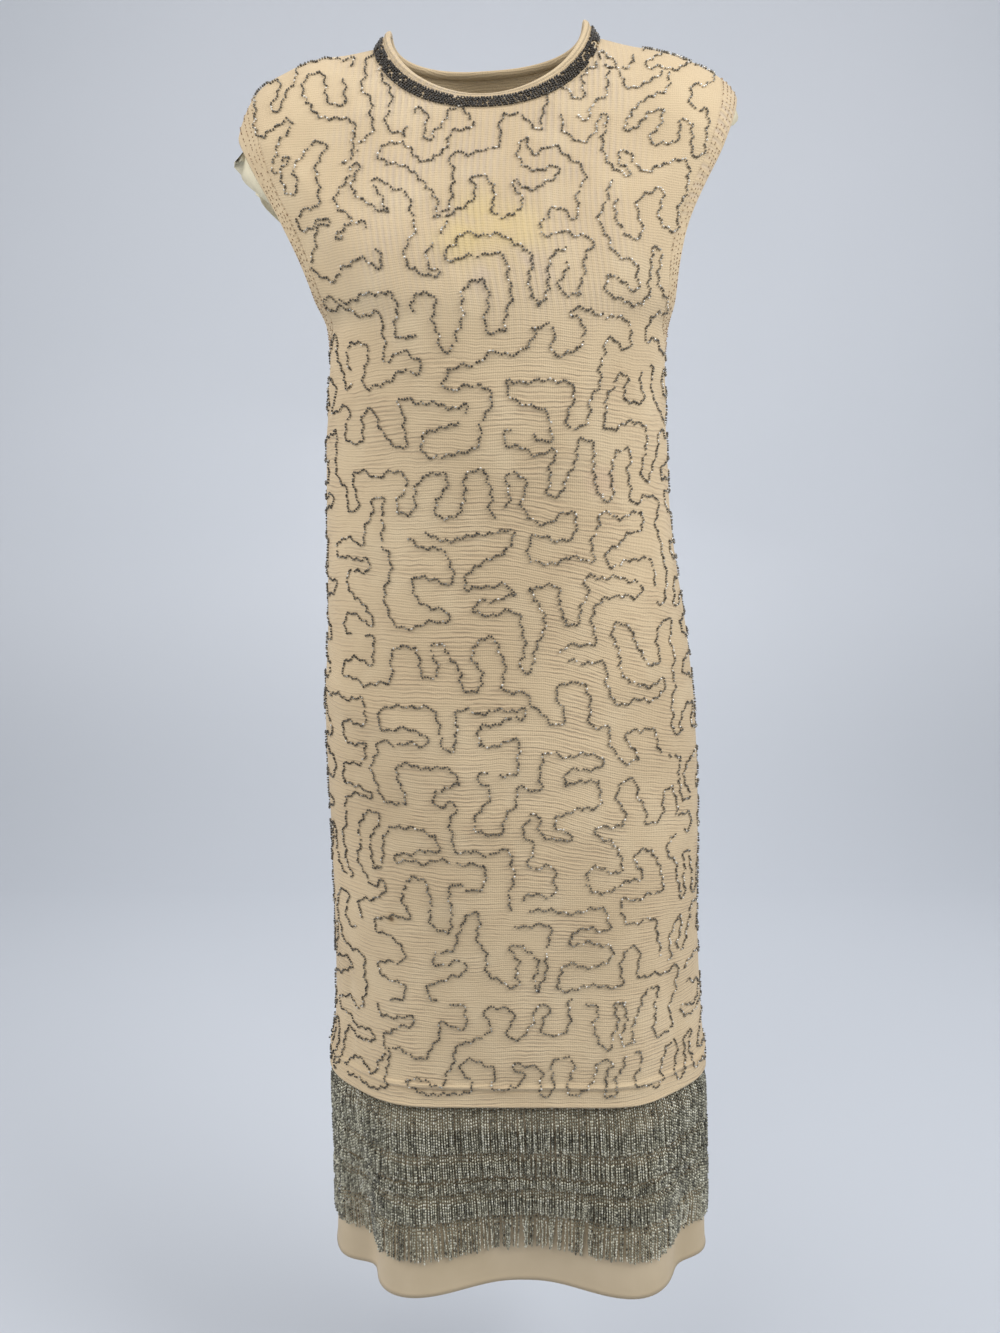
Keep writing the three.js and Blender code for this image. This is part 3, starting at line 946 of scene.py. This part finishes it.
# ---------------------------------------------------------------- beads
def tones(draw, count, dark, pale_and_glint_share):
    """Tones of mixed beads: mostly dark, some silver, and a few at the top of the ramp that are partly pale
    beads and partly painted glints.
    """
    tone = draw.beta(1.6, 2.3, count) * dark
    # This share stands for pale beads and for painted glints off the beads' facets.
    pale_and_glint = draw.random(count) < pale_and_glint_share
    return np.where(pale_and_glint, draw.uniform(0.8, 1.0, count), tone)


def fringe_row(number, row):
    """Strands of beads round the dress, spaced by distance, following the skirt's folds. Those of
    the last row hang more loosely. Beads that face sideways are darker and those facing front or back
    lighter, as painted shade and light."""
    draw = np.random.default_rng(100 + number)
    last = number == len(FRINGE)
    turns = np.linspace(0, 360, 1441)
    tall = (row["top"] - row["bottom"]) * MM
    loop = skin(turns, (row["top"] + row["bottom"]) / 2 * MM)
    distance = distances(loop)
    spread = distance[-1] / STRANDS
    at = (np.arange(STRANDS) + draw.uniform(-0.16, 0.16, STRANDS)) * spread
    angle = np.interp(at, distance, turns)
    length = tall + draw.normal(0, 1.2 * MM if last else 0.7 * MM, STRANDS)
    beads = np.arange(int((tall + 6 * MM) / STRAND_PITCH))
    drop = beads[None] * STRAND_PITCH + draw.uniform(0, STRAND_PITCH, (STRANDS, 1))
    keep = drop < length[:, None]
    loose = 2.2 if last else 1.0
    lean = draw.normal(0, 0.16, (STRANDS, 1)) * drop / (50 * MM)
    sway = loose * lean + loose * draw.normal(0, 0.025, drop.shape)
    z = row["top"] * MM - drop
    swing = np.interp(-z / MM, [-row["start"], -row["out"]], [0, 1])
    offset = FRINGE_SEWN + (FRINGE_FREE - FRINGE_SEWN) * swing
    offset = offset + draw.normal(0, 0.3 * MM, (STRANDS, 1)) + draw.normal(0, 0.1 * MM, drop.shape)
    where = angle[:, None] + sway
    out = outward(where, z)
    points = skin(where, z) + out * offset[..., None]
    run = np.gradient(points, axis=1)
    tone = 0.54 + draw.normal(0, 0.19, drop.shape) + draw.normal(0, 0.10, (STRANDS, 1))
    # Painted light and shade: the tone rises on beads that face front or back and falls on those that face
    # sideways.
    tone = np.clip(np.clip(tone, 0, 1) + 0.34 * (np.abs(out[..., 1]) - 0.72), 0, 1)
    radius = draw.normal(1.26, 0.06, drop.shape) * MM
    bead_length = STRAND_PITCH * draw.uniform(0.86, 0.98, drop.shape)
    return bead_mesh(
        f"fringe_strands_{number}", points[keep], run[keep], out[keep],
        radius[keep], bead_length[keep], tone[keep], fringe_beads, sides=3)


for number, row in enumerate(FRINGE, 1):
    place(fringe_row(number, row), "beads", f"fringe_row_{number}")


# The lattice that a panel's bead line runs over, and its four points in each double cell.
PITCH = 17.6 * MM
LOW_ROW = OVERDRESS_HEM + 13 * MM
YOKE_ROW = -300 * MM
EDGE_GAP = 6 * MM
HALF_COLUMNS = 9
CELL_ROWS = 29
CORNERS = [(0, 0), (0, 1), (1, 0), (1, 1)]

# The bead line itself.
ROUNDING = 7.8 * MM
COARSE_STEP = 1.5 * MM
FINE_STEP = 0.6 * MM
BEAD_STEP = 2.45 * MM
SCALLOP = 2.7 * MM
SWAY = 1.9 * MM


def half_width(face, side, z):
    """Distance from a panel's middle to its seam or armhole band at a level, on one side."""
    edge_angle, edge_z = armhole(side * face, np.linspace(0, 1, 80), ARMHOLE_BAND)
    turn = np.where(z > edge_z[-1], np.interp(-z, -edge_z, 90 - np.abs(90 - np.abs(edge_angle))), 90)
    return np.abs(arc_of(face, side * turn, z))


def top_level(face, arc):
    """Level of a panel's neckline or shoulder line above a spot of its yoke."""
    turn = turn_at(face, arc, np.full_like(arc, -60 * MM))
    x = skin(middle_of(face) + turn, -60 * MM)[..., 0]
    across = np.clip(np.abs(x) / NECK_HALF, 0, 1) ** (2 / NECK_SQUARE)
    tilt = SHOULDER_TILT * np.clip(x / NECK_HALF, -1, 1)
    return np.minimum(NECK_LIFT + tilt - NECK_DROP[face] * np.sqrt(1 - across), ridge(x))


def fitted(face, cells):
    """Places of the lattice's rows and columns on the panel: an even grid, drawn out or in a
    little so that its last rows and columns follow the neckline, shoulders and armholes."""
    tallest, widest = {}, {}
    for (i, j), (a, b) in product(cells, CORNERS):
        tallest[2 * i + a] = max(tallest.get(2 * i + a, 0), 2 * j + 1)
        key = (2 * j + b, i >= 0)
        widest[key] = max(widest.get(key, 0), abs(2 * i + a + 0.5))
    spots = {}
    for (i, j), (a, b) in product(cells, CORNERS):
        column, row = 2 * i + a, 2 * j + b
        arc, z = (column + 0.5) * PITCH, LOW_ROW + row * PITCH
        if z > YOKE_ROW:
            room = float(top_level(face, np.array([arc]))[0]) - EDGE_GAP - YOKE_ROW
            highest = LOW_ROW + tallest[column] * PITCH
            z = YOKE_ROW + (z - YOKE_ROW) * np.clip(room / (highest - YOKE_ROW), 0.86, 1.22)
        side = 1 if column >= 0 else -1
        outer = widest[(row, column >= 0)]
        room = float(half_width(face, side, np.array([z]))[0]) - EDGE_GAP
        stretch = np.clip(room / (outer * PITCH), 0.86, 1.25) - 1
        share = abs(column + 0.5) / outer
        spots[(column, row)] = (arc * (1 + stretch * share**2), z)
    return spots


def double_cells(face):
    """The lattice's double cells that a panel has room for."""
    cells = set()
    for i, j in product(range(-HALF_COLUMNS, HALF_COLUMNS), range(CELL_ROWS)):
        outer = (2 * abs(i + 0.5) + 0.5) * PITCH
        levels = LOW_ROW + np.array([2 * j, 2 * j + 1]) * PITCH
        tops = top_level(face, np.array([2 * i + 0.5, 2 * i + 1.5]) * PITCH) - EDGE_GAP - YOKE_ROW
        fits_up = levels[1] < YOKE_ROW or (levels[1] - YOKE_ROW < 1.14 * tops).all()
        width = half_width(face, 1 if i >= 0 else -1, levels) - EDGE_GAP
        if fits_up and (outer < 1.12 * width).all():
            cells.add((i, j))
    return cells


def offers(cell, free, links, rng):
    """Branches from a cell to its free neighbours, each with a weight: branches up and down come
    sooner than level ones, and those that go straight on come later."""
    found = []
    for (x, y), weight in (((1, 0), 1.0), ((-1, 0), 1.0), ((0, 1), 0.62), ((0, -1), 0.62)):
        other = (cell[0] + x, cell[1] + y)
        behind = (cell[0] - x, cell[1] - y)
        straight = 1.7 if (cell, behind) in links else 1.0
        if other in free:
            found.append((rng.random() * weight * straight, cell, other))
    return found


def random_tree(cells, rng):
    """Links that join the cells without a ring, each kept in both directions."""
    links, free = set(), set(cells)
    while free:
        start = min(free)
        free.discard(start)
        edge = offers(start, free, links, rng)
        while edge:
            edge.sort(key=lambda item: item[0])
            _, cell, other = edge.pop(0 if rng.random() < 0.75 else rng.randrange(len(edge)))
            if other in free:
                free.discard(other)
                links |= {(cell, other), (other, cell)}
                edge += offers(other, free, links, rng)
    return links


def turns_at(cell, links):
    """How many of a cell's four corners the line round the tree turns at."""
    i, j = cell
    level = [(cell, (i + step, j)) in links for step in (1, -1)]
    upright = [(cell, (i, j + step)) in links for step in (1, -1)]
    return sum(a == b for a in level for b in upright)


def regrown(cells, links, rng, tries):
    """The same tree after many small changes: a branch is cut and another joins the two parts
    again, and it stays where the line then turns at least as often."""
    branches = sorted(pair for pair in links if pair[0] < pair[1])
    for _ in range(tries):
        pick = rng.randrange(len(branches))
        old = branches[pick]
        links -= {old, old[::-1]}
        part, edge, across = {old[0]}, [old[0]], []
        while edge:
            i, j = edge.pop()
            for other in ((i + 1, j), (i - 1, j), (i, j + 1), (i, j - 1)):
                if other in part:
                    continue
                if ((i, j), other) in links:
                    part.add(other)
                    edge.append(other)
                elif other in cells:
                    across.append(((i, j), other))
        new = rng.choice([pair for pair in across if pair[1] not in part])
        touched = set(old) | set(new)
        turns = []
        for branch in (old, new):
            links |= {branch, branch[::-1]}
            turns.append(sum(turns_at(cell, links) for cell in touched))
            links -= {branch, branch[::-1]}
        kept = new if turns[1] >= turns[0] else old
        links |= {kept, kept[::-1]}
        branches[pick] = kept
    return links


def outline(cells, links):
    """Lattice points in order along the lines that run round each tree of cells."""
    neighbours = {}
    for (i, j), (a, b) in product(cells, CORNERS):
        x, y = 2 * i + a, 2 * j + b
        aside, up = 2 * a - 1, 2 * b - 1
        linked_aside = ((i, j), (i + aside, j)) in links
        linked_up = ((i, j), (i, j + up)) in links
        neighbours[(x, y)] = {
            (True, True): [(x + aside, y), (x, y + up)],
            (True, False): [(x + aside, y), (x - aside, y)],
            (False, True): [(x, y + up), (x, y - up)],
            (False, False): [(x, y - up), (x - aside, y)],
        }[linked_aside, linked_up]
    loops, unused = [], set(neighbours)
    while unused:
        spot = min(unused)
        loop, previous = [], None
        while spot in unused:
            unused.discard(spot)
            loop.append(spot)
            onward = [n for n in neighbours[spot] if n != previous]
            previous, spot = spot, onward[0]
        loops.append(loop)
    return loops


def meander(face, seed):
    """Lines that pass every point of a lattice once without crossing: the outline of random
    trees that join the lattice's double cells."""
    rng = random.Random(seed)
    cells = double_cells(face)
    spots = fitted(face, cells)
    links = regrown(cells, random_tree(cells, rng), rng, tries=1500)
    loops = [loop for loop in outline(cells, links) if len(loop) > 7]
    return [np.array([spots[spot] for spot in loop]) for loop in loops]


def ripple(points, seed):
    """A slow shift of each point, the sum of a few waves with their own directions."""
    draw = np.random.default_rng(seed)
    shift = np.zeros_like(points)
    for _ in range(7):
        wave = draw.normal(0, 1, 2)
        wave *= 2 * np.pi / draw.uniform(0.05, 0.09) / np.linalg.norm(wave)
        phase = draw.uniform(0, 2 * np.pi, 2)
        shift += 2.1 * MM * np.sin((points @ wave)[:, None] + phase)
    return points + shift


def resampled(points, step):
    """The same line with points at an even step along it."""
    distance = distances(points)
    at = np.arange(0, distance[-1], step)
    return np.stack([np.interp(at, distance, points[:, k]) for k in range(2)], axis=1)


def rounded(line):
    """A closed line with its corners rounded: the mean over a bell-shaped reach along it."""
    reach = np.arange(-16, 17)
    share = np.exp(-((reach * COARSE_STEP / ROUNDING) ** 2))
    share /= share.sum()
    wide = np.concatenate([line[-16:], line, line[:16]])
    return np.stack([np.convolve(wide[:, k], share, mode="valid") for k in range(2)], axis=1)


def bead_line(loop, seed):
    """The strung line on the flat cloth: its corners rounded, small scallops along it, and a
    few breaks where one thread ends and the next starts."""
    draw = np.random.default_rng(seed)
    loop = loop + draw.uniform(-2.4 * MM, 2.4 * MM, loop.shape)
    line = rounded(resampled(np.concatenate([loop, loop[:1]]), COARSE_STEP))
    line = resampled(ripple(line, 5), FINE_STEP)
    along = np.arange(len(line)) * FINE_STEP
    run = unit(np.gradient(line, axis=0))
    side = np.stack([-run[:, 1], run[:, 0]], axis=1)
    pace = 10.5 * MM + 1.6 * MM * np.sin(along / 0.07 + seed)
    phase = np.cumsum(np.pi * FINE_STEP / pace)
    scallop = SCALLOP * (np.abs(np.sin(phase)) - 0.64)
    sway = SWAY * np.sin(along / 0.0052 + 2.2 * np.sin(along / 0.045 + seed))
    line = resampled(line + side * (scallop + sway)[:, None], BEAD_STEP)
    keep = np.ones(len(line), bool)
    at = int(draw.uniform(120, 300))
    while at < len(line):
        gap = int(draw.uniform(4, 9))
        keep[at:at + gap] = False
        at += int(draw.uniform(160, 420))
    keep &= draw.random(len(line)) > 0.03
    run = np.gradient(line, axis=0)
    return line[keep], run[keep]


def apart(spots, gap, block=1000):
    """Which beads keep a gap from every bead strung well before them, one block at a time."""
    clear = np.ones(len(spots), bool)
    order = np.arange(len(spots))
    for start in range(0, len(spots), block):
        some = slice(start, start + block)
        away = spots[some, None] - spots[None]
        earlier = order[None, :] < order[some, None] - 4
        clear[some] = ~((np.hypot(away[..., 0], away[..., 1]) < gap) & earlier).any(axis=1)
    return clear


def line_beads_piece(name, face, seed):
    """The bead lines of one panel, lying on its creased cloth."""
    draw = np.random.default_rng(seed)
    lines = [bead_line(loop, seed + i) for i, loop in enumerate(meander(face, seed))]
    spots = np.concatenate([spot for spot, _ in lines])
    runs = np.concatenate([run for _, run in lines])
    clear = apart(spots, 3.4 * MM)
    spots, runs = spots[clear], runs[clear]
    spots = spots + draw.normal(0, 0.2 * MM, spots.shape)

    def lay(at):
        """Flat places laid on the cloth, and kept below the shoulder line."""
        z = at[:, 1]
        for _ in range(3):
            angle = middle_of(face) + turn_at(face, at[:, 0], z)
            z = np.minimum(z, ridge(skin(angle, z)[:, 0]) - 4 * MM)
        return cloth_point(angle, z, 1.0 * MM + tuck_reach(z))

    points, out = lay(spots)
    run = lay(spots + runs * 0.4)[0] - points
    count = len(points)
    tone = tones(draw, count, 0.8, 0.10)
    # Painted light: the beads grow lighter towards +X and towards the shoulders.
    tone = np.clip(tone + 0.22 * ease((points[:, 0] + 20 * MM) / (130 * MM)), 0, 1)
    tone = np.clip(tone + 0.14 * ease((points[:, 2] + 300 * MM) / (140 * MM)), 0, 1)
    radius = draw.normal(1.0, 0.12, count) * MM
    length = draw.normal(2.0, 0.25, count) * MM
    return bead_mesh(name, points, run, out, radius, length, tone, line_beads, sides=4)


place(line_beads_piece("bead_lines_on_the_front", 1, 11), "beads")
place(line_beads_piece("bead_lines_on_the_back", -1, 29), "beads")


def neck_beads():
    """Rows of beads round the neck band, worn thin towards the shoulders."""
    draw = np.random.default_rng(7)
    fine, step = neck_loop(1200), 2.35 * MM
    centres, runs, outs = [], [], []
    for k, distance in enumerate((0.4, 2.4, 4.4, 6.4, 8.4, 10.0)):
        loop = risen(fine, NECK_BAND_RISE, distance * MM)
        above = risen(fine, NECK_BAND_RISE, (distance + 1) * MM)
        run = loop_run(loop)
        out = unit(np.cross(run, above - loop))
        length = distances(np.concatenate([loop, loop[:1]]))
        at = np.arange(0, length[-1], step)
        at = at + draw.normal(0, 0.15 * MM, len(at))
        index = np.clip(np.searchsorted(length, at) - 1, 0, len(loop) - 1)
        worn = np.clip((np.abs(loop[index, 0]) - 68 * MM) / (22 * MM), 0, 1)
        keep = draw.random(len(at)) > 0.02 + 0.42 * worn * (0.5 + 0.5 * np.sin(at * 300 + k))
        index = index[keep]
        lift = 1.2 * MM + draw.normal(0, 0.15 * MM, len(index))
        centres.append(loop[index] + out[index] * lift[:, None])
        runs.append(run[index] + draw.normal(0, 0.15, (len(index), 3)))
        outs.append(out[index])
    centres, runs, outs = (np.concatenate(part) for part in (centres, runs, outs))
    count = len(centres)
    return bead_mesh(
        "neck_beads", centres, runs, outs, draw.normal(1.2, 0.08, count) * MM, 2.2 * MM,
        tones(draw, count, 0.42, 0.03), neck_dark)


place(neck_beads(), "beads")


def edge_stitches(name, points, out, seed):
    """Small rust-coloured stitches scattered in rows along an armhole band."""
    draw = np.random.default_rng(seed)
    rows = []
    for k in (1, 2, 3, 4):
        centre = points[k] + out[k] * 0.4 * MM
        run = np.roll(centre, -1, axis=0) - centre
        length = np.linalg.norm(run, axis=1)[:, None]
        for share in (0.15, 0.65):
            spot = centre + run * (share + draw.uniform(-0.2, 0.2, (len(run), 1)))
            rows.append((spot, run + draw.normal(0, 0.35, run.shape) * length, out[k]))
    centres, runs, outs = (np.concatenate(part) for part in zip(*rows))
    keep = draw.random(len(centres)) < 0.75
    tone = draw.random(keep.sum())
    return bead_mesh(
        name, centres[keep], runs[keep], outs[keep], 0.5 * MM, 1.5 * MM, tone, rust_thread, sides=3)


place(edge_stitches("armhole_stitches_left", band_left_points, band_left_out, 3), "knit")
place(edge_stitches("armhole_stitches_right", band_right_points, band_right_out, 4), "knit")


# ---------------------------------------------------------------- stage, lamps and camera
def stage():
    """A pale floor that rises in one sweep into a wall behind."""
    bend = np.linspace(0, np.pi / 2, 16)
    depth = np.concatenate([np.linspace(-6, 1.6, 20), 1.6 + 0.9 * np.sin(bend), np.full(12, 2.5)])
    height = np.concatenate([np.zeros(20), 0.9 - 0.9 * np.cos(bend), np.linspace(1.1, 6, 12)])
    across = np.linspace(-7, 7, 12)
    x, y = np.meshgrid(across, depth)
    z = np.repeat((UNDERSKIRT_HEM - 0.26 + height)[:, None], len(across), axis=1)
    f = Finish("pale_paper", Roughness=0.95)
    where = f.place()
    mottle = f.noise(where, 0.7, 2.0)
    level = Value(f, f.node("ShaderNodeSeparateXYZ", {}, {"Vector": where}).outputs["Z"])
    wall = f.mix(mottle.step(0.3, 0.7), colour(0.74, 0.765, 0.81), colour(0.77, 0.79, 0.835))
    # Painted shade: the floor part of the one paper sweep is darker than the wall, blending up the curve.
    f.paint(Base_Color=f.mix(level.step(-1.38, -0.5), colour(0.56, 0.585, 0.63), wall))
    points = np.stack([x, y, z], axis=-1).reshape(-1, 3)
    new_mesh("floor", points, grid_faces(*x.shape), f.material)


def lamp(name, place_at, aim, size, watts, tint=(1, 1, 1)):
    """A round soft lamp that faces a point."""
    light = bpy.data.lights.new(name, "AREA")
    light.shape = "DISK"
    light.size = size
    light.energy = watts
    light.color = tint
    holder = bpy.data.objects.new(name, light)
    holder.location = place_at
    towards = np.array(aim) - np.array(place_at)
    flat = math.hypot(towards[0], towards[1])
    holder.rotation_euler = (math.atan2(flat, -towards[2]), 0, math.atan2(-towards[0], towards[1]))
    bpy.context.scene.collection.objects.link(holder)


def camera():
    """The camera stands in front of the waist and looks a little down."""
    lens = bpy.data.cameras.new("camera")
    lens.sensor_width = 36.0
    lens.lens = 27.0
    holder = bpy.data.objects.new("camera", lens)
    holder.location = (0.011, -0.930, -0.405)
    holder.rotation_euler = (math.radians(90 - 9.1), 0, 0)
    bpy.context.scene.collection.objects.link(holder)
    bpy.context.scene.camera = holder


stage()
lamp("soft_key", (-0.8, -1.35, 1.35), (0, 0, -0.25), 1.3, 14.5, (1.0, 0.985, 0.96))
lamp("soft_fill", (1.8, -1.0, 1.0), (0, 0, -0.4), 1.5, 49, (0.98, 0.99, 1.0))
lamp("soft_side", (-2.0, -0.6, 0.5), (0, 0, -0.45), 1.6, 25)
lamp("soft_rear", (0.3, 2.0, 0.6), (0, 0, -0.5), 1.5, 16)
camera()
world = bpy.data.worlds.new("studio")
bpy.context.scene.world = world
world.use_nodes = True
sky = world.node_tree.nodes["Background"]
sky.inputs["Color"].default_value = (0.93, 0.96, 1.0, 1)
sky.inputs["Strength"].default_value = 0.42
bpy.context.scene.view_settings.view_transform = "Standard"
